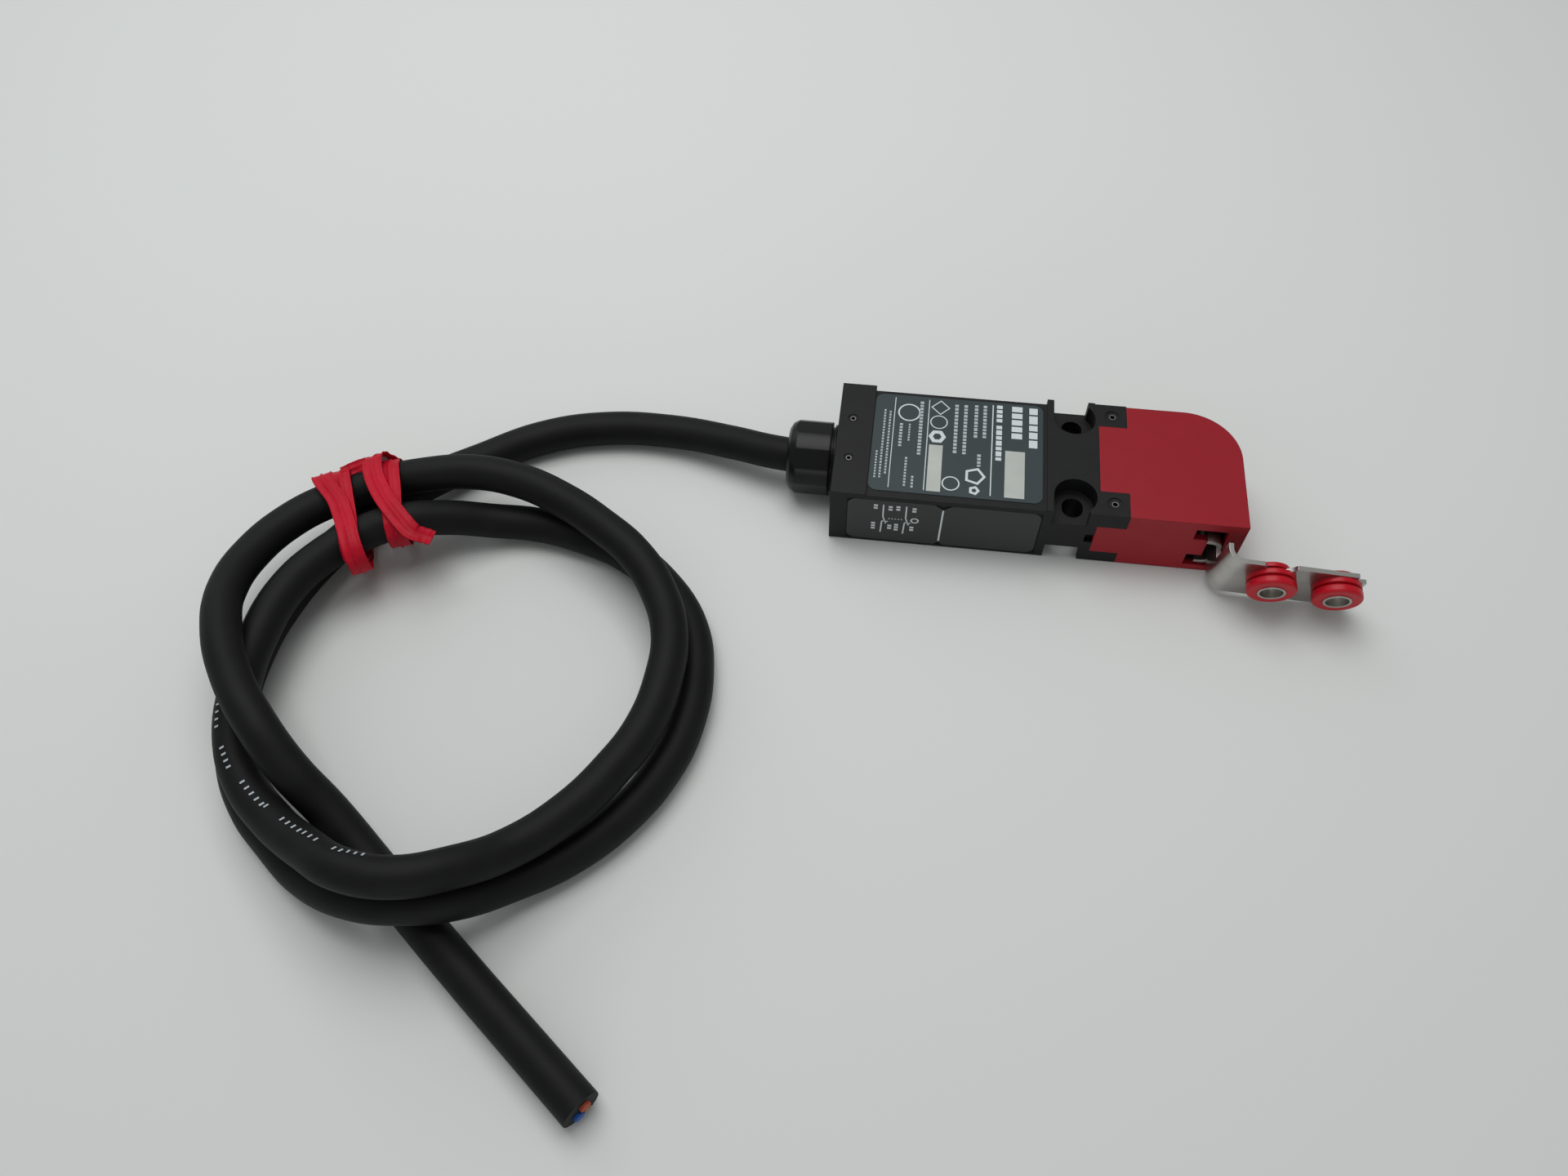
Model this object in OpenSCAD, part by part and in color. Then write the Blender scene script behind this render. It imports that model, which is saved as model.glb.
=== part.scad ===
// Safety door switch: slim plastic body, red key head with its operation key in the slot, moulded cable.
// Millimetres. The origin is midway between the two mounting holes, on the mounting face.
// X runs towards the red head, Y across the body, Z out of the label face.

/* [Body] */
// Width of the body across the two mounting holes
case_width = 31.8; // [31.4:0.2:34]
// Thickness of the body from the mounting face to the label face
case_height = 17; // [16.8:0.1:18]
// Length from the mounting holes to the cable end
cable_side = 53.6; // [52.6:0.2:58]
// Length from the mounting holes to the far end of the red head
head_side = 37; // [36.4:0.2:39]
// Radius of the rounded far corner of the red head
head_corner_r = 12.5; // [6:0.5:13]
// Depth of the field that carries the front label
label_recess = 0.4; // [0.3:0.05:0.6]

/* [Mounting holes] */
// Distance between the centres of the two mounting holes
hole_pitch = 22.4; // [21.8:0.1:22.6]
// Width of the slotted mounting holes
hole_d = 4.6; // [3.8:0.1:4.8]
// Length of the slotted mounting holes across the body
hole_length = 5.3; // [5:0.1:5.6]
// Radius of the screw head pockets around the holes
pocket_r = 4.7; // [4.2:0.05:4.75]
// Height of the pocket floors above and below the middle of the body
pocket_floor = 4.1; // [3.4:0.1:4.6]

/* [Key slot and operation key] */
// Width of the key slot along the body
slot_width = 6.8; // [6.8:0.1:7.4]
// Sheet thickness of the operation key
sheet_t = 1; // [0.8:0.05:1.1]
// Distance between the two fixing holes of the key
key_pitch = 14.1; // [12.6:0.1:14.4]
// Bore of the two steel sleeves in the key
sleeve_d = 4.8; // [3.8:0.1:5]
// Flange diameter of the rubber grommets
grommet_d = 10.4; // [9:0.1:10.6]

/* [Cable] */
// Outer diameter of the cable
cable_d = 8; // [6.4:0.1:8]
// Diameter of the gland nut over its soft corners
gland_d = 17; // [15:0.1:17]

/* [Mechanism] */
// Radius of the operating cam
cam_r = 9; // [8.6:0.1:9.2]
// Travel of the plunger from key in to key out
plunger_stroke = 3; // [2.4:0.1:3]
// Diameter of the plunger
plunger_d = 5; // [4:0.1:5]

/* [Hidden] */
$fn = 64;
e = 0.5;
hw = case_width / 2;
mid = case_height / 2;
x0 = -cable_side;
x1 = head_side;
neck_x = -4.7;
far_y = hw + 0.3;
head_y = hw - 0.3;
joint_x = 5.35;
ear_x = 11.7;
ear_y = hw - 6.55;
pin_y = hw - 3.4;
ear_low = 3.5;
ear_high = case_height - 4.3;
label_x0 = x0 + 7.9;
label_x1 = -6.2;
floor_z = 1.6;
roof_z = case_height - 2;
cav_y = hw - 2.2;
cam_x = head_side - 14.1;
cam_z0 = mid - 2.5;
cam_h = 5;
slot_x = head_side - 10.6;
slot_z0 = mid - 6.8;
slot_z1 = mid + 6.2;
tip_x = cam_x - cam_r + 3 - 0.8;
key_at = [head_side + 5.55, -hw - 7.87, mid + 1.93];
base_x = [x0 + 16.6, x0 + 44.6];
carrier_x = [x0 + 20, x0 + 42.5];
strip_x = [x0 + 26, x0 + 36];
strip_y = hw - 6.1;
carrier_y = 3.9;
seat_y = carrier_y + 1.3;
contact_y = carrier_y + 2.3;
fold_x = x0 + 25.2;
film_y = hw - 1.8;
film_top = case_height - 1.7;

// Route of the cable's centreline, from inside the gland to the cut end
ROUTE = [[x0 - 3, 0, mid], [-66, 0, 8.5], [-78, 4, 6.5], [-94, 7.5, 4.5], [-111, 7, 4], [-125, 2.5, 4],
    [-138, -6, 4], [-146, -12.5, 4.9], [-154, -20.5, 5], [-161, -29.5, 4.9], [-167, -39, 4],
    [-171, -50, 4], [-173, -63, 4], [-172, -77, 4], [-168, -88, 4], [-162, -97, 4], [-154, -104, 4.5],
    [-144, -111, 6.5], [-133, -115, 10.5], [-123, -115.5, 12.5], [-114, -113, 10.5], [-105, -106.5, 5.5],
    [-96, -100, 4], [-87, -90.5, 4], [-81, -80, 4], [-78, -69, 4], [-78, -57, 4], [-81, -46, 4],
    [-88, -36.5, 4], [-98, -29, 4], [-109, -25, 4], [-120, -23, 4], [-130, -24, 5.5], [-139, -27, 9.5],
    [-147.5, -31, 12.5], [-155.5, -35.5, 12.5], [-162, -42, 12.5], [-167, -51, 12.5], [-169, -63, 12.5],
    [-168.5, -75, 12.5], [-166, -86, 12.2], [-160.5, -95, 12.2], [-152, -102.5, 13], [-142, -108.5, 16.5],
    [-132, -113, 20.5], [-122.5, -113.5, 21], [-113.5, -110, 19], [-105, -103, 13.5], [-96, -94, 12.2],
    [-89.5, -84.5, 12], [-85, -75, 12], [-83, -64, 12], [-83.5, -53, 12], [-87.5, -43, 12],
    [-94, -34.5, 12.5], [-103, -27.5, 12.5], [-113, -21.5, 12.5], [-124, -17.5, 13], [-135, -17, 14],
    [-146, -19, 13.8], [-156, -22, 12.8], [-165, -27, 12.5], [-172, -34, 13], [-176.5, -44, 14.5],
    [-177, -55, 17], [-173, -66, 20], [-166, -77.5, 21], [-158, -86.5, 20.5], [-151, -93, 16],
    [-143, -98.5, 9.5], [-133, -106.5, 4.5], [-122, -115.5, 4], [-110, -125, 4], [-97, -135, 4],
    [-84, -145, 4]];

function unit(v) = v / norm(v);
function lane(p, i) = unit(p[min(i + 1, len(p) - 1)] - p[max(i - 1, 0)]);
function across(t) = unit(cross([0, 0, 1], t));
function ring(c, t, r, n) = [for (k = [0 : n - 1])
    c + r * cos(360 * k / n) * across(t) + r * sin(360 * k / n) * cross(t, across(t))];

// Round tube along the points p
module tube(p, r, n) {
    m = len(p);
    pts = [for (i = [0 : m - 1]) for (q = ring(p[i], lane(p, i), r, n)) q];
    sides = [for (i = [0 : m - 2]) for (k = [0 : n - 1])
        [i * n + k, i * n + (k + 1) % n, (i + 1) * n + (k + 1) % n, (i + 1) * n + k]];
    first = [[for (k = [0 : n - 1]) n - 1 - k]];
    last = [[for (k = [0 : n - 1]) (m - 1) * n + k]];
    polyhedron(points = pts, faces = concat(sides, first, last), convexity = 10);
}

// Box between two corners
module block(a, b) {
    translate(a)
        cube(b - a);
}

// Cylinder along X between two stations
module bar_x(xa, xb, y, z, r) {
    translate([xa, y, z])
        rotate([0, 90, 0])
            cylinder(h = xb - xa, r = r);
}

// Coil spring along X between two stations
module coil_x(xa, xb, y, z, r, wire, turns, steps) {
    n = turns * steps;
    tilt = [for (i = [0 : n]) [xa + wire + (xb - xa - 2 * wire) * i / n,
        y + r * cos(360 * i / steps), z + r * sin(360 * i / steps)]];
    m = len(tilt);
    k = 6;
    pts = [for (i = [0 : m - 1]) for (j = [0 : k - 1])
        let (a = 360 * i / steps, s = r + wire * cos(60 * j))
        [tilt[i][0] + wire * sin(60 * j), y + s * cos(a), z + s * sin(a)]];
    sides = [for (i = [0 : m - 2]) for (j = [0 : k - 1])
        [i * k + j, (i + 1) * k + j, (i + 1) * k + (j + 1) % k, i * k + (j + 1) % k]];
    first = [[for (j = [0 : k - 1]) j]];
    last = [[for (j = [0 : k - 1]) (m - 1) * k + k - 1 - j]];
    polyhedron(points = pts, faces = concat(sides, first, last), convexity = 10);
}

// The key's own frame: origin on the axis of the inner fixing hole, on the front of the sheet
module key_frame() {
    translate(key_at)
        rotate([8.5, 4, 0])
            children();
}

// Flat outline in the key's frame, drawn as (along, up) and given depth from va to vb
module key_sheet(va, vb) {
    translate([0, vb, 0])
        rotate([90, 0, 0])
            linear_extrude(height = vb - va)
                children();
}

// Hollow cross pin standing along Z
module cross_pin(x, y, r, bore) {
    translate([x, y, 0.2])
        difference() {
            cylinder(h = case_height - 0.4, r = r);
            translate([0, 0, case_height - 3])
                cylinder(h = 4, r = bore);
            translate([0, 0, -1])
                cylinder(h = 3.4, r = bore);
        }
}

// Side pocket for a screw head, open towards the side, with its through hole
module side_pocket(s) {
    reach = (hole_length - hole_d) / 2;
    for (t = [-reach, reach])
        translate([0, s * hole_pitch / 2 + t, -e])
            cylinder(h = case_height + 2 * e, d = hole_d);
    translate([-hole_d / 2, s * hole_pitch / 2 - reach, -e])
        cube([hole_d, 2 * reach, case_height + 2 * e]);
    for (z = [[mid + pocket_floor, case_height + e], [-e, mid - pocket_floor]]) {
        translate([0, s * hole_pitch / 2, z[0]])
            cylinder(h = z[1] - z[0], r = pocket_r);
        if (s > 0)
            block([neck_x, hole_pitch / 2, z[0]], [3.1, far_y + e, z[1]]);
        else
            block([neck_x, -hw - e, z[0]], [3.1, -hole_pitch / 2, z[1]]);
    }
}

module switch_case() {
    color([0.07, 0.07, 0.08])
    difference() {
        union() {
            block([x0, -hw, 0], [4.6, far_y, case_height]);
            block([4, -hw, 0], [joint_x, hw, case_height]);
            for (s = [-1, 1])
                for (z = [[0, ear_low], [ear_high, case_height]])
                    translate([joint_x, s > 0 ? ear_y : -hw, z[0]])
                        cube([ear_x - joint_x, hw - ear_y, z[1] - z[0]]);
        }
        block([label_x0, -hw - e, case_height - label_recess], [label_x1, far_y + e, case_height + e]);
        block([label_x0, hw - 0.9, 2.6], [label_x1, far_y + e, case_height + e]);
        block([label_x0 - 4, -hw - e, 0.6], [label_x1 - 0.5, -hw + 0.3, film_top + 0.1]);
        block([x0 - e, -cav_y, floor_z], [-7.6, cav_y, roof_z]);
        bar_x(-8, joint_x + e, 0, mid, plunger_d / 2 + 0.4);
        bar_x(3.35, joint_x + e, 0, mid, 4.4);
        for (s = [-1, 1]) {
            side_pocket(s);
            translate([8.5, s * pin_y, -e])
                cylinder(h = case_height + 2 * e, r = 0.78);
            translate([8.5, s * pin_y, case_height - 0.25])
                cylinder(h = 1, r = 1.68);
            translate([x0 + 3.2, s * 5.8, -e])
                cylinder(h = case_height + 2 * e, r = 0.65);
            translate([x0 + 3.2, s * 5.8, case_height - 0.2])
                cylinder(h = 1, r = 1.1);
            translate([3.4, s > 0 ? hw - 1.6 : -hw - e, mid - 1.8])
                cube([2.5, 1.6 + e, 2.8]);
        }
    }
}

module end_plug() {
    color([0.09, 0.09, 0.1])
    difference() {
        block([x0, -cav_y, floor_z], [label_x0, cav_y, roof_z]);
        bar_x(x0 - 1, x0 + 9, 0, mid, 4.1);
        bar_x(x0 - 1, x0 + 3, 0, mid, 5);
        difference() {
            block([x0 + 5.4, -cav_y - 1, floor_z - 1], [x0 + 6.4, cav_y + 1, roof_z + 1]);
            block([x0 + 5.3, -cav_y + 0.7, floor_z + 0.7], [x0 + 6.5, cav_y - 0.7, roof_z - 0.7]);
        }
        for (s = [-1, 1])
            translate([x0 + 3.2, s * 5.8, -e])
                cylinder(h = case_height + 2 * e, r = 0.65);
    }
}

module plug_seal() {
    color([0.12, 0.12, 0.12])
    difference() {
        block([x0 + 5.4, -cav_y, floor_z], [x0 + 6.4, cav_y, roof_z]);
        block([x0 + 5, -cav_y + 0.7, floor_z + 0.7], [x0 + 7, cav_y - 0.7, roof_z - 0.7]);
    }
}

module plug_pin_a() {
    color([0.8, 0.8, 0.78])
    cross_pin(x0 + 3.2, 5.8, 0.65, 0.46);
}

module plug_pin_b() {
    color([0.8, 0.8, 0.78])
    cross_pin(x0 + 3.2, -5.8, 0.65, 0.46);
}

module gland_nut() {
    r = gland_d / 2;
    color([0.06, 0.06, 0.07])
    difference() {
        union() {
            intersection() {
                translate([x0 - 11, 0, mid])
                    rotate([0, 90, 0])
                        rotate([0, 0, 12])
                            cylinder(h = 9.8, d = gland_d + 1.9, $fn = 6);
                translate([x0, 0, mid])
                    rotate([0, 90, 0])
                        rotate_extrude()
                            polygon([[2, -11], [r - 1.9, -11], [r - 0.7, -10.3], [r, -9], [r, 0], [2, 0]]);
            }
            bar_x(x0 - 1.3, x0 - 0.5, 0, mid, r - 1.1);
            bar_x(x0 - 0.6, x0, 0, mid, r - 0.5);
            bar_x(x0 - 1, x0 + 3, 0, mid, 5);
        }
        bar_x(x0 - 12, x0 + 4, 0, mid, cable_d / 2 + 0.1);
        bar_x(x0 - 7, x0 + 4, 0, mid, 4.6);
    }
}

module gland_seal() {
    color([0.13, 0.13, 0.13])
    difference() {
        bar_x(x0 - 7, x0 + 2.5, 0, mid, 4.6);
        bar_x(x0 - 8, x0 + 4, 0, mid, cable_d / 2 + 0.05);
    }
}

module head_shell() {
    color([0.8, 0.09, 0.13])
    difference() {
        union() {
            block([ear_x, -hw, 0], [x1, head_y, case_height]);
            block([joint_x, -ear_y, 0], [ear_x, ear_y, case_height]);
            block([joint_x, -hw, ear_low], [ear_x, head_y, ear_high]);
        }
        difference() {
            block([x1 - head_corner_r, head_y - head_corner_r, -e], [x1 + e, hw + e, case_height + e]);
            translate([x1 - head_corner_r, head_y - head_corner_r, -1])
                cylinder(h = case_height + 2, r = head_corner_r);
        }
        translate([cam_x, 0, mid - 4.3])
            cylinder(h = 8.6, r = 9.9);
        bar_x(joint_x - e, cam_x - 8, 0, mid, plunger_d / 2 + 0.6);
        block([joint_x - e, 7.5 - hw, 2], [joint_x + 0.6, hw - 7.5, case_height - 2]);
        difference() {
            block([slot_x, -hw - e, slot_z0], [slot_x + slot_width, -2.7, slot_z1]);
            block([slot_x - 1, -hw, mid - 2.9], [slot_x + 3.3, -hw + 1.6, mid + 2.7]);
        }
        block([slot_x - 0.8, -hw + 1.6, slot_z0 - 0.8], [slot_x + slot_width + 0.8, -2.7, slot_z1 + 0.8]);
        translate([cam_x, 0, 2])
            cylinder(h = case_height - 4, r = 1.5);
        for (s = [-1, 1])
            translate([8.5, s * pin_y, -e])
                cylinder(h = case_height + 2 * e, r = 0.78);
    }
}

module slot_liner() {
    color([0.06, 0.06, 0.06])
    difference() {
        block([slot_x - 0.8, -hw + 1.6, slot_z0 - 0.8], [slot_x + slot_width + 0.8, -2.7, slot_z1 + 0.8]);
        block([slot_x, -hw, slot_z0], [slot_x + slot_width, 0, slot_z1]);
        translate([cam_x, 0, mid - 4.3])
            cylinder(h = 8.6, r = 9.9);
    }
}

module head_pin_a() {
    color([0.8, 0.8, 0.78])
    cross_pin(8.5, pin_y, 0.78, 0.54);
}

module head_pin_b() {
    color([0.8, 0.8, 0.78])
    cross_pin(8.5, -pin_y, 0.78, 0.54);
}

module head_seal() {
    color([0.12, 0.12, 0.12])
    difference() {
        block([joint_x, 7.5 - hw, 2], [joint_x + 0.6, hw - 7.5, case_height - 2]);
        bar_x(joint_x - 1, joint_x + 1, 0, mid, plunger_d / 2 + 0.6);
    }
}

// Outline of the cam: full radius, a low flat on the plunger side and a spiral between them
function cam_radius(a) = a < 100 ? cam_r : a < 130 ? cam_r - plunger_stroke * (a - 100) / 30
    : a < 180 ? cam_r - plunger_stroke
    : a < 240 ? cam_r - plunger_stroke + plunger_stroke * (a - 180) / 60 : cam_r;

module operating_cam() {
    color([0.85, 0.84, 0.8])
    difference() {
        translate([cam_x, 0, cam_z0])
            linear_extrude(height = cam_h)
                polygon([for (a = [0 : 6 : 354]) cam_radius(a) * [cos(a), sin(a)]]);
        translate([cam_x, 0, 0])
            cylinder(h = case_height, r = 1.8);
        translate([cam_x, 0, 0])
            rotate([0, 0, -32])
                block([cam_r - 2.4, -1.4, 0], [cam_r + 2, 1.4, case_height]);
    }
}

module cam_pin() {
    color([0.75, 0.75, 0.76])
    translate([cam_x, 0, 2])
        cylinder(h = case_height - 4, r = 1.5);
}

module plunger() {
    color([0.85, 0.84, 0.8])
    union() {
        bar_x(carrier_x[1], tip_x - 1.5, 0, mid, plunger_d / 2);
        translate([tip_x - 1.5, 0, mid])
            rotate([0, 90, 0])
                cylinder(h = 1.5, r1 = plunger_d / 2, r2 = plunger_d / 2 - 1.2);
    }
}

module plunger_seal() {
    color([0.12, 0.12, 0.12])
    difference() {
        bar_x(3.35, joint_x, 0, mid, 4.4);
        bar_x(3, 6, 0, mid, plunger_d / 2 + 0.3);
    }
}

module return_spring() {
    color([0.75, 0.75, 0.76])
    coil_x(label_x0, carrier_x[0], 0, mid, 2.9, 0.3, 7, 14);
}

module contact_base() {
    color([0.14, 0.14, 0.15])
    union() {
        block([base_x[0], -cav_y, floor_z], [base_x[1], cav_y, mid - 4.1]);
        for (s = [-1, 1])
            block([base_x[0], s > 0 ? seat_y : -cav_y, floor_z], [base_x[1], s > 0 ? cav_y : -seat_y, mid - 1.2]);
    }
}

module fixed_contacts() {
    color([0.78, 0.6, 0.3])
    for (x = strip_x)
        for (s = [-1, 1])
            translate([x, s > 0 ? contact_y : -strip_y, 0])
                union() {
                    block([0.5, 0, mid - 1.2], [1.1, strip_y - contact_y, mid + 2.2]);
                    block([0.5, 0, mid - 1.2], [4.2, strip_y - contact_y, mid - 0.6]);
                }
}

module contact_carrier() {
    color([0.9, 0.89, 0.85])
    difference() {
        block([carrier_x[0], -carrier_y, mid - 3.6], [carrier_x[1], carrier_y, mid + 3.6]);
        for (x = strip_x)
            block([x - 4, -carrier_y - 1, mid - 0.4], [x + 0.3, carrier_y + 1, mid + 2.1]);
    }
}

module moving_contacts() {
    color([0.78, 0.6, 0.3])
    for (x = strip_x)
        block([x - 0.3, -strip_y, mid - 0.3], [x + 0.3, strip_y, mid + 2]);
}

module contact_springs() {
    color([0.75, 0.75, 0.76])
    for (x = strip_x)
        coil_x(x - 4, x - 0.3, 0, mid + 0.85, 0.85, 0.2, 3, 12);
}

module front_label() {
    color([0.56, 0.61, 0.68])
    difference() {
        block([label_x0 + 0.1, -film_y, case_height - label_recess], [-7.2, film_y, case_height - label_recess + 0.15]);
        for (c = [[label_x0 + 0.1, -film_y, 1, 1], [-7.2, -film_y, -1, 1],
                [label_x0 + 0.1, film_y, 1, -1], [-7.2, film_y, -1, -1]])
            translate([c[0], c[1], 0])
                difference() {
                    translate([c[2] > 0 ? -1 : -2, c[3] > 0 ? -1 : -2, 10])
                        cube([3, 3, 10]);
                    translate([2 * c[2], 2 * c[3], 0])
                        cylinder(h = 30, r = 2);
                }
    }
}

module side_label() {
    xa = label_x0 - 3.9;
    xb = -6.9;
    color([0.62, 0.64, 0.66])
    difference() {
        block([xa, -hw, 0.7], [xb, -hw + 0.3, film_top]);
        for (c = [[xa, 0.7, 1, 1], [xb, 0.7, -1, 1], [xa, film_top, 1, -1], [xb, film_top, -1, -1]])
            translate([c[0], -hw - 2, c[1]])
                difference() {
                    translate([c[2] > 0 ? -1 : -2, 0, c[3] > 0 ? -1 : -2])
                        cube([3, 4, 3]);
                    translate([2 * c[2], -1, 2 * c[3]])
                        rotate([-90, 0, 0])
                            cylinder(h = 8, r = 2);
                }
        for (p = [[[-2, film_top + 1], [-2, film_top], [0, film_top - 1.6], [2, film_top], [2, film_top + 1]],
                [[-1, 0], [-1, 0.8], [-0.1, 1.8], [0.8, 0.8], [0.8, 0]]])
            translate([fold_x, -hw + 2, 0])
                rotate([90, 0, 0])
                    linear_extrude(height = 4)
                        polygon(p);
    }
}

module key_plate() {
    t = sheet_t;
    color([0.78, 0.77, 0.74])
    key_frame()
    difference() {
        union() {
            key_sheet(0, t)
                difference() {
                    translate([-7.5, -9.1])
                        square([key_pitch + 5.1 + 7.5, 14.4]);
                    translate([key_pitch + 2.7, 3])
                        square([4, 4]);
                }
            difference() {
                translate([-7.5, 3.3, -9.1])
                    cylinder(h = 14.4, r = 3.3);
                translate([-7.5, 3.3, -10])
                    cylinder(h = 17, r = 3.3 - t);
                block([-7.5, -1, -10], [-3, 8, 8]);
                block([-12, 3.3, -10], [-3, 8, 8]);
            }
            block([-10.8, 3.3, -9.1], [-10.8 + t, 4.4, 5.3]);
            block([-10.8, 4.2, -9.1], [-10.8 + t, 7.2, -2.3]);
            block([-10.8, 6.8, -7.7], [-10.8 + t, 19, -2.3]);
            for (w = [[-10, -7.7, -7.7, 0], [-2.3, 0, -2.3, 0]])
                difference() {
                    translate([-10.8 - 1.3, 6.8, w[2]])
                        rotate([-90, 0, 0])
                            cylinder(h = 12.2, r = 1.3 + t);
                    translate([-10.8 - 1.3, 6, w[2]])
                        rotate([-90, 0, 0])
                            cylinder(h = 14, r = 1.3);
                    block([-16, 6, -12], [-12.1, 20, 4]);
                    if (w[0] < -5)
                        block([-13, 6, -7.7], [-8, 20, 0]);
                    else
                        block([-13, 6, -12], [-8, 20, -2.3]);
                }
            block([-13.4, 6.8, -10], [-12.1, 19, -10 + t]);
            block([-13.4, 6.8, -t], [-12.1, 19, 0]);
        }
        for (u = [0, key_pitch])
            translate([u, -1, 0])
                rotate([-90, 0, 0])
                    cylinder(h = t + 2, r = 3.3);
        translate([0.25, -1, 6.4])
            rotate([-90, 0, 0])
                cylinder(h = t + 2, r = 3.64);
    }
}

// Rubber grommet with a rounded front disc, a thinner disc behind it and a back flange
module grommet(u) {
    r = grommet_d / 2;
    soft = [for (a = [0 : 15 : 90]) [r - 0.6 + 0.6 * cos(a), -2.9 - 0.6 * sin(a)]];
    key_frame()
    translate([u, 0, 0])
    rotate([-90, 0, 0])
    rotate_extrude()
        polygon(concat([[2.9, sheet_t + 1], [3.9, sheet_t + 1], [3.9, sheet_t], [3.3, sheet_t], [3.3, 0],
            [r - 0.1, 0], [r - 0.1, -1.1], [r - 0.8, -1.3], [r - 0.8, -1.5], [r - 0.2, -1.7], [r, -1.9]],
            soft, [[2.9, -3.5]]));
}

// Steel sleeve in a grommet, at distance u along the key
module sleeve(u) {
    key_frame()
    translate([u, -3.7, 0])
    rotate([-90, 0, 0])
    difference() {
        cylinder(h = sheet_t + 4.9, r = 2.9);
        translate([0, 0, -1])
            cylinder(h = 9, d = sleeve_d);
    }
}

module key_grommet_inner() {
    color([0.85, 0.1, 0.1])
    grommet(0);
}

module key_grommet_outer() {
    color([0.85, 0.1, 0.1])
    grommet(key_pitch);
}

module key_sleeve_inner() {
    color([0.8, 0.8, 0.78])
    sleeve(0);
}

module key_sleeve_outer() {
    color([0.8, 0.8, 0.78])
    sleeve(key_pitch);
}

module cable() {
    color([0.09, 0.09, 0.09])
    tube(ROUTE, cable_d / 2, 12);
}

// Cut end of the cable: origin on the end face, X along the cable
module cut_end() {
    translate([-84, -145, 4])
        rotate([0, 0, -37.57])
            children();
}

module core_blue() {
    color([0.1, 0.3, 0.75])
    cut_end()
        bar_x(0, 0.6, -0.9, -1, 1.1);
}

module core_brown() {
    color([0.7, 0.35, 0.22])
    cut_end()
        bar_x(0, 0.6, 0.9, 1, 1.1);
}

module core_strands() {
    color([0.75, 0.62, 0.45])
    cut_end()
        bar_x(0, 0.5, 1, -1.3, 0.85);
}

// Flat ribbon bent round three strands, drawn as (across, up) in the plane at c, turned by a
module tie_band(c, a, spots, w) {
    translate([c[0], c[1], 0])
        rotate([0, 0, a])
            translate([w / 2, 0, 0])
                rotate([0, -90, 0])
                    rotate([0, 0, -90])
                        linear_extrude(height = w)
                            intersection() {
                                difference() {
                                    hull()
                                        for (p = spots)
                                            translate([-p[0], p[1]])
                                                circle(r = cable_d / 2 + 0.9, $fn = 32);
                                    hull()
                                        for (p = spots)
                                            translate([-p[0], p[1]])
                                                circle(r = cable_d / 2 + 0.45, $fn = 32);
                                }
                                translate([-30, 0.05])
                                    square([60, 60]);
                            }
}

module cable_tie() {
    color([0.72, 0.06, 0.1])
    union() {
        tie_band([-157, -28], 30, [[4.7, 12.8], [-7.1, 12.5], [3.3, 5.05], [1.5, 5.05]], 4.6);
        tie_band([-148, -25], 18, [[5.2, 13.5], [-5.7, 12.2], [9.3, 5.05], [7.3, 5.05]], 4.6);
    }
}

switch_case();
end_plug();
plug_seal();
plug_pin_a();
plug_pin_b();
gland_nut();
gland_seal();
head_shell();
slot_liner();
head_pin_a();
head_pin_b();
head_seal();
operating_cam();
cam_pin();
plunger();
plunger_seal();
return_spring();
contact_base();
fixed_contacts();
contact_carrier();
moving_contacts();
contact_springs();
front_label();
side_label();
key_plate();
key_grommet_inner();
key_grommet_outer();
key_sleeve_inner();
key_sleeve_outer();
cable();
core_blue();
core_brown();
core_strands();
cable_tie();
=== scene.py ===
# %% [markdown]
# # Safety door switch
# The real object is a slim moulded switch with a red head. A bent steel key is pushed into the head when
# a guard door shuts. A stiff round cable leaves the other end and lies in a coil.
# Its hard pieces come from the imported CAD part, which is exact, so this script gives them their finishes
# and adds what a solid modeller draws badly: print, the smooth cable and a crumpled ribbon.
# Lengths are in metres in the part's own frame, and MM turns millimetres into metres.

import math

import bpy
from mathutils import Matrix, Vector


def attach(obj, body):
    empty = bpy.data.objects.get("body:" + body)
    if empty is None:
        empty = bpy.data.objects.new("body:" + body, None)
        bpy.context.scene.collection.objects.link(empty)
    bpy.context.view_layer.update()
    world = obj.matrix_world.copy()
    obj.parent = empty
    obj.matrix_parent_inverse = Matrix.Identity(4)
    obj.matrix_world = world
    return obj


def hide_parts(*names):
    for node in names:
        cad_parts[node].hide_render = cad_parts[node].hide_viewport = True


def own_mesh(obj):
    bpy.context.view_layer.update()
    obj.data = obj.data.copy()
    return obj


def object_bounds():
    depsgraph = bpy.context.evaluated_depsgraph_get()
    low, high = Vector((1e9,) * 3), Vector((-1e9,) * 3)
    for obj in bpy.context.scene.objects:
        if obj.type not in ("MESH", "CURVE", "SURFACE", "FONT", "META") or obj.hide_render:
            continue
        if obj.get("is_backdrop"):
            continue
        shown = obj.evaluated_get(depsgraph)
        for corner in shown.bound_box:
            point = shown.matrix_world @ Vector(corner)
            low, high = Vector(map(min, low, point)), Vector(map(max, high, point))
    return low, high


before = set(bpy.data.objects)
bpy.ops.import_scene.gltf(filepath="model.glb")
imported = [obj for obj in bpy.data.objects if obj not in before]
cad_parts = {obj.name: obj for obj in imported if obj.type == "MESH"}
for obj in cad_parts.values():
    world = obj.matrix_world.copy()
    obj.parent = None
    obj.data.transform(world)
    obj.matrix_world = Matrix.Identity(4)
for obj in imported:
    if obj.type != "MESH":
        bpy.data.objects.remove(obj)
MM = 0.001


def save_size():
    low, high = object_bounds()
    return low, high


size = save_size()
print("the part spans", [round((b - a) / MM, 1) for a, b in zip(*size)], "mm")

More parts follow.
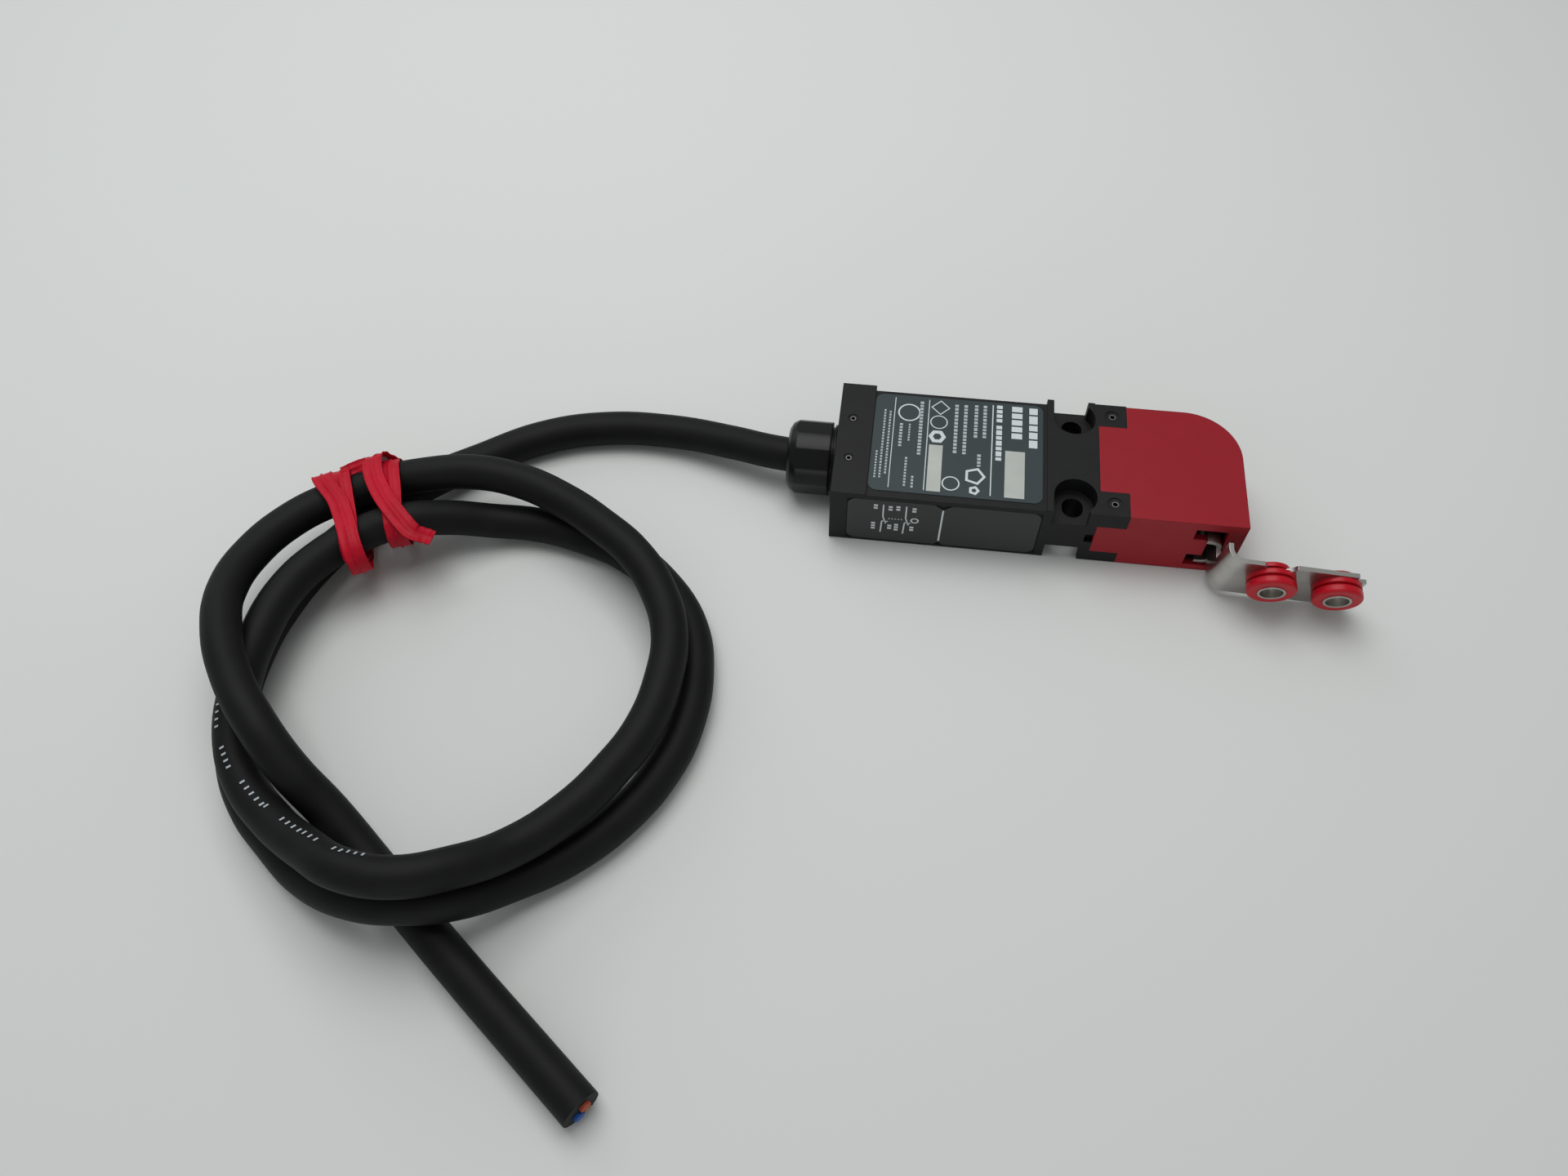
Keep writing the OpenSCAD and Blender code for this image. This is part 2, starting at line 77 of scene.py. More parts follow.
# %% [markdown]
# ## Camera
# The picture is taken by hand from the near side, looking down at the body at about 57 degrees from level.
# A camera could be placed by eye. Here its place, turn and focal length were fitted to the body's corners,
# so that sizes read off the picture agree with the part.

# %% Camera
CAMERA_PLACE, FOCAL_LENGTH = (-0.0415085, -0.1782714, 0.2299147), 27.855
HEADING, TILT, ROLL = 0.1397, 0.5733, -0.0237

scene = bpy.context.scene
scene.view_settings.view_transform = "Standard"
lens = bpy.data.cameras.new("camera")
camera = bpy.data.objects.new("camera", lens)
scene.collection.objects.link(camera)
lens.sensor_width = 36
lens.lens = FOCAL_LENGTH
lens.clip_start = 0.01
turn = Matrix.Rotation(HEADING, 4, "Z") @ Matrix.Rotation(TILT, 4, "X") @ Matrix.Rotation(ROLL, 4, "Z")
camera.matrix_world = Matrix.Translation(CAMERA_PLACE) @ turn
scene.camera = camera
print("camera at", [round(v, 3) for v in camera.location])

# %% [markdown]
# ## Cable
# The real cable is a round black sheath, 8 mm across, which is stiff enough to keep wide bends.
# It runs from the gland under the coil, goes round it twice and ends in a cut end near the viewer.
# A rope simulation would not find the same crossings, so the middle of the cable follows measured points,
# in millimetres, each at the height at which that strand lies on the table or on another strand.
# A Bezier curve with a round bevel through them stays smooth and keeps one diameter.

# %% Cable
ROUTE = [
    (-62, 0, 8.5), (-70, 1.5, 7.8), (-78, 4, 6.5), (-94, 7.5, 4.5), (-111, 7, 4), (-125, 2.5, 4),
    (-138, -6, 4.1), (-146, -12.5, 4.9), (-154, -20.5, 5), (-161, -29.5, 4.9), (-167, -39, 4.1),
    (-171, -50, 4), (-173, -63, 4), (-172, -77, 4), (-168, -88, 4), (-162, -97, 4), (-154, -104, 4.5),
    (-144, -111, 6.5), (-133, -115, 10.5), (-123, -115.5, 12.5), (-114, -113, 10.5), (-105, -106.5, 5.5),
    (-96, -100, 4.1), (-87, -90.5, 4), (-81, -80, 4), (-78, -69, 4), (-78, -57, 4), (-81, -46, 4),
    (-88, -36.5, 4), (-98, -29, 4), (-109, -25, 4), (-120, -23, 4.1), (-130, -24, 5.5), (-139, -27, 9.5),
    (-147.5, -31, 12.5), (-155.5, -35.5, 12.5), (-162, -42, 12.5), (-167, -51, 12.5), (-169, -63, 12.5),
    (-168.5, -75, 12.5), (-166, -86, 12.2), (-160.5, -95, 12.2), (-152, -102.5, 13), (-142, -108.5, 16.5),
    (-132, -113, 20.5), (-122.5, -113.5, 21), (-113.5, -110, 19), (-105, -103, 13.5), (-96, -94, 12.2),
    (-89.5, -84.5, 12), (-85, -75, 12), (-83, -64, 12), (-83.5, -53, 12), (-87.5, -43, 12),
    (-94, -34.5, 12.5), (-103, -27.5, 12.5), (-113, -21.5, 12.5), (-124, -17.5, 13), (-135, -17, 14),
    (-146, -19, 13.8), (-156, -22, 12.8), (-165, -27, 12.5), (-172, -34, 13), (-176.5, -44, 14.5),
    (-177, -55, 17), (-173, -66, 20), (-166, -77.5, 21), (-158, -86.5, 20.5), (-151, -93, 16),
    (-143, -98.5, 9.5), (-133, -106.5, 4.5), (-122, -115.5, 4), (-110, -125, 4), (-97, -135, 4),
    (-84, -145, 4),
]


def smooth_curve(name, points, radius):
    data = bpy.data.curves.new(name, "CURVE")
    data.dimensions = "3D"
    data.resolution_u = 6
    data.bevel_depth = 1
    data.bevel_resolution = 6
    data.use_fill_caps = True
    line = data.splines.new("BEZIER")
    line.bezier_points.add(len(points) - 1)
    for knot, p in zip(line.bezier_points, points):
        knot.co = Vector(p) * MM
        knot.handle_left_type = knot.handle_right_type = "AUTO"
        knot.radius = radius
    piece = bpy.data.objects.new(name, data)
    scene.collection.objects.link(piece)
    return piece


CABLE_RADIUS = 4
cable = smooth_curve("cable_jacket", ROUTE, CABLE_RADIUS * MM)
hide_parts("cable")
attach(cable, "switch_body")
print("cable of", len(ROUTE), "points")

# %% [markdown]
# ## Materials
# The object has moulded plastics, rubber, sheet steel, printed film and a soft cable sheath.
# Each could have its own network of nodes. They share one here, because on all of them the eye sees
# the same four things: a base colour, a gloss, a fine grain, and edges that are slightly round.
# Grain is given as the size at which it is drawn, in millimetres, and colour as the sRGB hex of the surface.

# %% Material helpers
BUMP_DEPTH = 0.0001
PATCH = 12  # a patch of lighter or darker colour is this many grains wide


def srgb(code):
    parts = [int(code[i : i + 2], 16) / 255 for i in (1, 3, 5)]
    return tuple(v / 12.92 if v <= 0.04045 else ((v + 0.055) / 1.055) ** 2.4 for v in parts) + (1,)


def add(tree, kind, links=None, **settings):
    """Adds a node, sets its sockets and properties by name, and links its inputs."""
    item = tree.nodes.new("ShaderNode" + kind)
    for name, value in settings.items():
        if name in item.inputs:
            item.inputs[name].default_value = value
        else:
            setattr(item, name, value)
    for name, source in (links or {}).items():
        tree.links.new(source, item.inputs[name])
    return item


def material(
    name, colour, rough, metal=0.0, grain=0.0, grain_mm=0.4, edge_mm=0.0, stretch=(1, 1, 1), tint=0.0, shine=0.22,
):
    """Grain is the depth of the fine bumps, edge_mm rounds the edges, and tint is the share that the colour varies."""
    made = bpy.data.materials.new(name)
    made.use_nodes = True
    tree = made.node_tree
    shader = tree.nodes["Principled BSDF"]
    shader.inputs["Base Color"].default_value = srgb(colour)
    shader.inputs["Roughness"].default_value = rough
    shader.inputs["Metallic"].default_value = metal
    shader.inputs["Specular IOR Level"].default_value = shine
    place = add(tree, "TexCoord")
    spread = add(tree, "Mapping", {"Vector": place.outputs["Object"]}, Scale=stretch)
    normal = None
    if edge_mm:
        normal = add(tree, "Bevel", Radius=edge_mm * MM, samples=6).outputs["Normal"]
    if grain:
        noise = add(tree, "TexNoise", {"Vector": spread.outputs["Vector"]}, Scale=1000 / grain_mm, Detail=4.0)
        links = {"Height": noise.outputs["Fac"]}
        if normal:
            links["Normal"] = normal
        normal = add(tree, "Bump", links, Strength=grain, Distance=BUMP_DEPTH).outputs["Normal"]
    if normal:
        tree.links.new(normal, shader.inputs["Normal"])
    if tint:
        dark = tuple(c * (1 - tint) for c in srgb(colour)[:3]) + (1,)
        light = tuple(min(c * (1 + tint), 1) for c in srgb(colour)[:3]) + (1,)
        broad = add(tree, "TexNoise", {"Vector": spread.outputs["Vector"]}, Scale=1000 / (grain_mm * PATCH), Detail=3.0)
        mix = add(tree, "ValToRGB", {"Fac": broad.outputs["Fac"]})
        mix.color_ramp.elements[0].color = dark
        mix.color_ramp.elements[1].color = light
        mix.color_ramp.elements[0].position = 0.35
        mix.color_ramp.elements[1].position = 0.65
        tree.links.new(mix.outputs["Color"], shader.inputs["Base Color"])
    return made


# %% [markdown]
# ## Plastics and rubber
# The case is glass-filled nylon from a spark-eroded mould, which leaves a dull, grained skin.
# The gland is turned from smooth nylon, so it is darker and has a sharper gloss.
# The head is moulded in solid red with a shallower grain, and the grommets are glossier silicone rubber.
# Such a grain is usually about 0.1 mm, and it is drawn three times as coarse or more so that it shows.

# %% Plastics and rubber
black_case = material("black glass-filled plastic", "#121213", 0.52, grain=0.3, grain_mm=0.3, edge_mm=0.25, tint=0.12)
black_gland = material("black smooth plastic", "#0e0e0f", 0.3, grain=0.08, edge_mm=0.6)
red_head = material("red moulded plastic", "#8f1622", 0.42, grain=0.2, grain_mm=0.35, edge_mm=0.35, tint=0.03)
red_rubber = material("red silicone rubber", "#b00f20", 0.3, edge_mm=0.4)
seal_rubber = material("black seal rubber", "#0c0c0c", 0.7)
white_plastic = material("natural acetal plastic", "#d9d6c8", 0.4)
print("6 plastics and rubbers")

# %% [markdown]
# ## Metals
# The key is cold-rolled stainless sheet. Its brushing runs along the sheet and stretches the highlight,
# so its noise is drawn eight times as long along X as across.
# Pins and springs are rolled wire with a greyer skin, sleeves are turned and shine more, contacts are brass.

# %% Metals
steel = material(
    "brushed stainless steel", "#bcbab6", 0.28, metal=1.0, grain=0.12, grain_mm=0.25, edge_mm=0.12,
    stretch=(0.12, 1, 1), tint=0.08,
)
pin_steel = material("rolled pin steel", "#7b7975", 0.35, metal=1.0, edge_mm=0.06)
sleeve_steel = material("turned sleeve steel", "#bdbab4", 0.38, metal=1.0, edge_mm=0.15)
brass = material("contact brass", "#c9a45c", 0.3, metal=1.0)
print("4 metals")

# %% [markdown]
# ## Films and print
# Both labels are printed polyester film. The front one is bluish grey and the side one neutral grey.
# The print is matt ink. Fine print covers only part of its line, so at this distance it reads as a duller tone.

# %% Films and print
blue_film = material("blue-grey printed film", "#353f42", 0.4, tint=0.05, grain_mm=2)
grey_film = material("grey printed film", "#353838", 0.42, tint=0.04, grain_mm=2)
print_white = material("white print", "#c9cfd2", 0.5)
print_pale = material("fine pale print", "#a9b1b6", 0.5)
field_grey = material("pale printed field", "#b2b5b0", 0.55, tint=0.08, grain_mm=0.8)
print("2 films and 3 prints")

# %% [markdown]
# ## Cable and ribbon
# The sheath is matt extruded PVC with a faint satin grain of 0.5 mm. The cores keep their code colours.
# The strands are cut copper, which is dull and rough at the cut.
# The ribbon is thin red plastic over a wire. Its skin is crumpled about every millimetre, which breaks the gloss.

# %% Cable and ribbon finishes
jacket = material("black PVC cable jacket", "#131314", 0.58, grain=0.15, grain_mm=0.5, tint=0.12, shine=0.15)
blue_core = material("blue core insulation", "#1f4f9c", 0.5)
brown_core = material("brown core insulation", "#a0432c", 0.5)
strands = material("cut copper strands", "#a37a4c", 0.35, metal=0.7, grain=0.8, grain_mm=0.3)
tie_red = material("red ribbon plastic", "#b51028", 0.42, grain=0.9, grain_mm=0.9, tint=0.12, shine=0.12)
print("5 cable and ribbon finishes")

# %% Finishes on the CAD pieces
LOOKS = {
    "switch_case": black_case, "end_plug": black_case, "plug_seal": seal_rubber, "plug_pin_a": pin_steel,
    "plug_pin_b": pin_steel, "gland_nut": black_gland, "gland_seal": seal_rubber, "head_shell": red_head,
    "head_pin_a": pin_steel, "head_pin_b": pin_steel, "head_seal": seal_rubber, "operating_cam": white_plastic,
    "cam_pin": pin_steel, "plunger": white_plastic, "plunger_seal": seal_rubber, "return_spring": pin_steel,
    "contact_base": black_case, "fixed_contacts": brass, "contact_carrier": white_plastic,
    "moving_contacts": brass, "contact_springs": pin_steel, "slot_liner": black_case,
    "front_label": blue_film, "side_label": grey_film,
    "key_plate": steel, "key_grommet_inner": red_rubber, "key_grommet_outer": red_rubber,
    "key_sleeve_inner": sleeve_steel, "key_sleeve_outer": sleeve_steel, "core_blue": blue_core,
    "core_brown": brown_core, "core_strands": strands, "cable_tie": tie_red,
}
for name, look in LOOKS.items():
    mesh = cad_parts[name].data
    mesh.materials.clear()
    mesh.materials.append(look)
cable.data.materials.append(jacket)
print(len(LOOKS) + 1, "pieces have a material")

# %% [markdown]
# ## Return spring
# Inside the case a coil spring of 0.6 mm wire pushes the contact carrier back. It gets shorter as the key leaves.
# The CAD spring is hidden, and this one is drawn again as a coil mesh of its own, 7 turns over 12 mm.
# On the real switch it keeps 9 of its 12 mm when the plunger has made its 3 mm stroke.

# %% Return spring
def coil_mesh(name, x_start, x_end, centre_z, radius, wire, turns, steps=24, sides=8):
    """A round wire in a coil along X, in millimetres, with wire as the wire's radius."""
    verts, faces = [], []
    count = turns * steps
    for i in range(count + 1):
        angle = 2 * math.pi * i / steps
        x = x_start + wire + (x_end - x_start - 2 * wire) * i / count
        for j in range(sides):
            lean = 2 * math.pi * j / sides
            reach = radius + wire * math.cos(lean)
            place = (x + wire * math.sin(lean), reach * math.cos(angle), centre_z + reach * math.sin(angle))
            verts.append(Vector(place) * MM)
    for i in range(count):
        a, b = i * sides, (i + 1) * sides
        faces += [(a + j, b + j, b + (j + 1) % sides, a + (j + 1) % sides) for j in range(sides)]
    faces += [tuple(range(sides)), tuple(range(count * sides, (count + 1) * sides))[::-1]]
    mesh = bpy.data.meshes.new(name)
    mesh.from_pydata(verts, [], faces)
    mesh.shade_smooth()
    piece = bpy.data.objects.new(name, mesh)
    scene.collection.objects.link(piece)
    return piece


SPRING_START, SPRING_END, STROKE = -45.66, -33.64, 3.0
spring = coil_mesh("return_coil", SPRING_START, SPRING_END, centre_z=8.5, radius=2.9, wire=0.3, turns=7)
spring.data.materials.append(pin_steel)
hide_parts("return_spring")
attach(spring, "switch_body")
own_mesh(spring)
print("spring of", len(spring.data.vertices), "points")

# %% [markdown]
# ## Print on the labels
# The real labels carry printed lines, ruled lines, pale fields and a small circuit drawing.
# They could be image textures, but the model has no picture in it and shows no words,
# so each line of print is a row of plain bars of the same height, length and place.
# The shapes are flat faces that lie 0.02 mm above the film, about as thick as a layer of ink.

# %% Print helpers
FRONT_PRINT, SIDE_PRINT = 16.77, -15.92  # the height and the depth at which the ink lies
SHORTEST = 0.4


def flat_piece(name, shapes, to_world, look):
    """One mesh of flat shapes. to_world turns a shape's two numbers into a place, or is None for places in mm."""
    verts = []
    faces = []
    for shape in shapes:
        first = len(verts)
        verts += [to_world(*q) if to_world else q * MM for q in shape]
        faces.append(list(range(first, first + len(shape))))
    mesh = bpy.data.meshes.new(name)
    mesh.from_pydata(verts, [], faces)
    mesh.materials.append(look)
    piece = bpy.data.objects.new(name, mesh)
    scene.collection.objects.link(piece)
    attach(piece, "switch_body")


def bar(x0, x1, y0, y1):
    return [(x0, y0), (x1, y0), (x1, y1), (x0, y1)]


def stroke(a, b, width):
    d = (Vector(b) - Vector(a)).normalized()
    n = Vector((-d.y, d.x)) * width / 2
    return [tuple(Vector(p) + s * n) for p, s in ((a, 1), (b, 1), (b, -1), (a, -1))]


def ring(x, y, outer, inner, steps=24):
    shapes = []
    for i in range(steps):
        a, b = 2 * math.pi * i / steps, 2 * math.pi * (i + 1) / steps
        shapes.append([
            (x + outer * math.cos(a), y + outer * math.sin(a)), (x + outer * math.cos(b), y + outer * math.sin(b)),
            (x + inner * math.cos(b), y + inner * math.sin(b)), (x + inner * math.cos(a), y + inner * math.sin(a)),
        ])
    return shapes


def words(x, height, top, bottom, lengths, gap):
    """Bars along -Y that stand for one line of print."""
    shapes = []
    y = top
    i = 0
    while y - SHORTEST > bottom:
        size = min(lengths[i % len(lengths)], y - bottom)
        shapes.append(bar(x - height / 2, x + height / 2, y, y - size))
        y -= size + gap
        i += 1
    return shapes


# %% Front label print
rules = [bar(-18.75, -18.5, -13.1, 13.3), bar(-33.35, -33.15, -13.1, 13.3), bar(-41.15, -40.97, -13.1, 13.3)]
fields = [bar(-15.6, -11.2, -13.2, 0.0), bar(-32.7, -29.6, -13.2, 0.0)]
bold = words(-9.4, 1.9, 13.2, 1.4, [1.9, 2.4, 1.6], 0.45) + words(-13.1, 2.4, 13.3, 3.0, [1.6, 1.5], 0.45)
bold += words(-17.1, 1.3, 13.3, 8.0, [1.0], 0.35) + words(-17.1, 1.3, 7.2, -3.0, [1.0, 1.4], 0.35)
fine = words(-20.4, 0.8, 12.9, 2.6, [0.8, 0.6], 0.3) + words(-21.4, 0.8, -1.7, -5.2, [0.7], 0.3)
fine += words(-22.4, 0.8, 12.8, 3.0, [0.6, 0.8], 0.3)
fine += words(-24.8, 0.8, 12.6, -2.0, [0.8, 0.6, 0.7], 0.3) + words(-26.9, 0.8, 12.5, -2.1, [0.7, 0.8], 0.3)
bold += ring(-30.6, 11.2, 2.2, 1.85, 4) + ring(-30.8, 6.8, 2.0, 1.75) + ring(-31.0, 2.5, 2.0, 1.0, 6)
fine += words(-34.9, 0.8, 12.6, -3.2, [0.7, 0.6], 0.3) + words(-35.9, 0.5, -9.4, -13.2, [0.6], 0.3)
bold += ring(-37.7, 9.0, 2.6, 2.25)
fine += words(-37.4, 0.4, 5.6, 0.4, [0.5], 0.25) + words(-37.6, 0.5, -4.2, -13.0, [0.6, 0.5], 0.3)
fine += words(-39.3, 0.7, 5.6, -1.2, [0.6], 0.3)
fine += words(-42.0, 0.45, 9.0, -9.6, [0.5, 0.6], 0.3) + words(-43.2, 0.45, 9.4, -10.6, [0.6, 0.5], 0.3)
fine += words(-44.3, 0.4, -3.0, -11.2, [0.5], 0.3)
bold += ring(-27.4, -10.6, 2.0, 1.7) + ring(-22.2, -8.0, 2.5, 1.8, 5) + ring(-22.2, -12.0, 1.3, 0.6, 5)


def on_front(u, v):
    return u * MM, v * MM, FRONT_PRINT * MM


flat_piece("front_label_print", rules + bold, on_front, print_white)
flat_piece("front_label_fine_print", fine, on_front, print_pale)
flat_piece("front_label_fields", fields, on_front, field_grey)
print(len(rules + bold + fine + fields), "shapes on the front label")

# %% Side label print
side = [stroke((-28.4, 13.6), (-28.5, 2.1), 0.4)]
for x in (-41.6, -36.5):
    side += [stroke((x, 13.9), (x + 0.05, 9.5), 0.32), stroke((x + 0.05, 9.5), (x + 0.8, 7.0), 0.32)]
    side += [stroke((x - 0.15, 7.9), (x + 1.3, 7.8), 0.3), stroke((x - 0.12, 7.8), (x - 0.28, 3.6), 0.32)]
side += ring(-34.4, 8.9, 0.95, 0.6)
side += [stroke((-40.3 + i * 0.7, 8.95), (-39.95 + i * 0.7, 8.94), 0.25) for i in range(5)]
TAGS = (
    (-43.3, 12.2, 2), (-40.0, 12.0, 2), (-38.3, 12.2, 2), (-34.7, 12.0, 2),
    (-43.6, 4.6, 3), (-39.9, 5.0, 2), (-38.4, 4.6, 3), (-34.9, 5.0, 2),
)
for x, z, n in TAGS:
    side += [bar(x - 0.45, x + 0.45, z + k * 0.95, z + k * 0.95 + 0.65) for k in range(n)]
flat_piece("side_label_print", side, lambda u, v: (u * MM, SIDE_PRINT * MM, v * MM), print_white)
print(len(side), "shapes on the side label")

# %% [markdown]
# ## Marks along the cable
# The sheath has pale print along one stretch of the coil. Thin strokes in groups stand for it.
# They sit 0.06 mm off the sheath and turn round it along the way, as the cable itself is twisted.

# %% Cable marks
MARK_LIFT = 0.06
MARKS_START, MARKS_SPAN = 38.6, 6.6
MARK_STEP, GROUP_GAP = 0.15, 0.3
MARK = (-0.22, 0.22, -0.5, 0.5)


def through(a, b, c, d, t):
    """A smooth curve from b to c, where t is 0 to 1."""
    return 0.5 * (2 * b + (c - a) * t + (2 * a - 5 * b + 4 * c - d) * t**2 + (3 * b - a - 3 * c + d) * t**3)


def on_route(at):
    i = min(int(at), len(ROUTE) - 2)
    a, b, c, d = (Vector(ROUTE[min(max(k, 0), len(ROUTE) - 1)]) for k in (i - 1, i, i + 1, i + 2))
    t = at - i
    here = through(a, b, c, d, t)
    return here, (c - b).normalized().lerp((d - a).normalized(), 0.5).normalized()


def mark(here, ahead, out, box):
    """A flat rectangle on the jacket, with box as its ends along and across the cable in millimetres."""
    wide = ahead.cross(out)
    a, b, low, high = box
    lift = out * (CABLE_RADIUS + MARK_LIFT)
    return [here + lift + ahead * x + wide * y for x, y in ((a, low), (b, low), (b, high), (a, high))]


marks = []
at = MARKS_START
for count in (4, 4, 4, 6, 7, 5):
    for k in range(count):
        here, ahead = on_route(at)
        share = (at - MARKS_START) / MARKS_SPAN
        out = Vector((-0.6 + 0.5 * share, 0.1 + 0.75 * share, 0.8 - 0.05 * share))
        out = (out - out.dot(ahead) * ahead).normalized()
        marks.append(mark(here, ahead, out, MARK))
        at += MARK_STEP
    at += GROUP_GAP
flat_piece("cable_marks", marks, None, print_pale)
print(len(marks), "marks on the jacket")

# %% [markdown]
# ## Ribbon tie
# The coil is held by a flat red plastic ribbon with a thin wire in its middle, wound round at two places.
# A cloth simulation would lose the ridge of the wire, so each turn is swept along a measured path instead.
# Each turn starts from the tight loop round all the strands it crosses, which is their convex outline.
# Numbers then let it drift along the cable and hang slack. The two loose pieces follow points of their own.

# %% Ribbon helpers
NEAR = 22  # strands farther from a turn's centre than this belong to other parts of the coil
LOOP_STEP, LOWEST, CUTS = 0.8, 0.25, 6


def strand_spots(centre, heading):
    """Where the cable crosses the upright plane at centre, as (across, up, half width)."""
    d, n = Vector((math.cos(heading), math.sin(heading))), Vector((-math.sin(heading), math.cos(heading)))
    spots = []
    for a, b in zip(ROUTE, ROUTE[1:]):
        a, b = Vector(a), Vector(b)
        sa, sb = (a.xy - centre).dot(d), (b.xy - centre).dot(d)
        if sa * sb <= 0 and (a.xy - centre).length < NEAR and (b.xy - centre).length < NEAR:
            p = a.lerp(b, sa / (sa - sb))
            spots.append(((p.xy - centre).dot(n), p.z, CABLE_RADIUS / abs((b - a).normalized().xy.dot(d))))
    return spots


def cross(a, b, c):
    return (b[0] - a[0]) * (c[1] - a[1]) - (b[1] - a[1]) * (c[0] - a[0])


def outline(spots, gap):
    """The tight loop round the strands, in steps of about LOOP_STEP."""
    points = sorted({
        (round(y + (half + gap) * math.cos(a), 3), round(z + (CABLE_RADIUS + gap) * math.sin(a), 3))
        for y, z, half in spots for a in [k * math.pi / 18 for k in range(36)]
    })
    hull = []
    for run in (points, points[::-1]):
        side = []
        for q in run:
            while len(side) > 1 and cross(side[-2], side[-1], q) <= 0:
                side.pop()
            side.append(q)
        hull += side[:-1]
    loop = []
    for (ya, za), (yb, zb) in zip(hull, hull[1:] + hull[:1]):
        steps = max(1, round(math.hypot(yb - ya, zb - za) / LOOP_STEP))
        loop += [Vector((ya + (yb - ya) * k / steps, za + (zb - za) * k / steps)) for k in range(steps)]
    return loop


# The ribbon across its width: curled edges, flat sides and the ridge of the wire, as (share, height in mm)
SECTION = (
    (-1, 0.0), (-0.95, 0.26), (-0.78, 0.1), (-0.16, 0.1), (0, 0.42), (0.16, 0.1), (0.78, 0.1), (0.95, 0.26), (1, 0.0),
    (0, -0.06),
)


def ribbon(name, path, normals, sideways, width, closed):
    """Sweeps the section along a path in millimetres, with a small wave so that the edges aren't ruled lines."""
    verts = []
    for i, (p, n, w) in enumerate(zip(path, normals, sideways)):
        wave = 0.1 * math.sin(i * 1.7) + 0.07 * math.sin(i * 0.6 + width)
        verts += [(p + w * u * width / 2 + n * (h + wave * abs(u))) * MM for u, h in SECTION]
    k = len(SECTION)
    count = len(path)
    faces = []
    for i in range(count if closed else count - 1):
        a, b = i * k, ((i + 1) % count) * k
        faces += [(a + j, a + (j + 1) % k, b + (j + 1) % k, b + j) for j in range(k)]
    if not closed:
        faces += [tuple(range(k)), tuple(range((count - 1) * k, count * k))]
    mesh = bpy.data.meshes.new(name)
    mesh.from_pydata(verts, [], faces)
    mesh.shade_smooth()
    mesh.materials.append(tie_red)
    piece = bpy.data.objects.new(name, mesh)
    scene.collection.objects.link(piece)
    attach(piece, "switch_body")
    return piece


def between(pairs, at):
    """A smooth value at a place along pairs of (place, value)."""
    if at <= pairs[0][0]:
        return pairs[0][1]
    for (a, low), (b, high) in zip(pairs, pairs[1:]):
        if at <= b:
            t = (at - a) / (b - a)
            return low + (high - low) * t * t * (3 - 2 * t)
    return pairs[-1][1]


def wrap(name, centre, degrees, gap, width, drift, slack):
    """A closed turn of ribbon. Drift moves it along the cable and slack lifts it, both by place across the coil."""
    heading = math.radians(degrees)
    d, n = Vector((math.cos(heading), math.sin(heading), 0)), Vector((-math.sin(heading), math.cos(heading), 0))
    centre = Vector(centre)
    loop = outline(strand_spots(centre, heading), gap)
    middle = sum(loop, Vector((0, 0))) / len(loop)
    path, normals, sideways = [], [], []
    for before, here, after in zip(loop[-1:] + loop[:-1], loop, loop[1:] + loop[:1]):
        run = (after - before).normalized()
        out = n * run.y + Vector((0, 0, -run.x))
        if out.dot(n * (here.x - middle.x) + Vector((0, 0, here.y - middle.y))) < 0:
            out = -out
        place = Vector((*centre, here.y)) + n * here.x + d * between(drift, here.x) + out * between(slack, here.x)
        place.z = max(place.z, LOWEST)
        path.append(place)
        normals.append(out)
        sideways.append(d)
    return ribbon(name, path, normals, sideways, width, True)


def loose_end(name, points, width):
    """An open ribbon through points of x, y, z and roll in degrees."""
    points = [Vector(q) for q in points]
    path = []
    for i in range(len(points) - 1):
        a, b, c, d = (points[min(max(k, 0), len(points) - 1)] for k in (i - 1, i, i + 1, i + 2))
        for t in [k / CUTS for k in range(CUTS)]:
            path.append(through(a, b, c, d, t))
    path.append(points[-1])
    places, normals, sideways = [q.xyz for q in path], [], []
    for i, q in enumerate(path):
        run = (places[min(i + 1, len(path) - 1)] - places[max(i - 1, 0)]).normalized()
        side = Matrix.Rotation(math.radians(q.w), 3, run) @ run.cross(Vector((0, 0, 1))).normalized()
        sideways.append(side)
        normals.append(side.cross(run))
    return ribbon(name, places, normals, sideways, width, False)


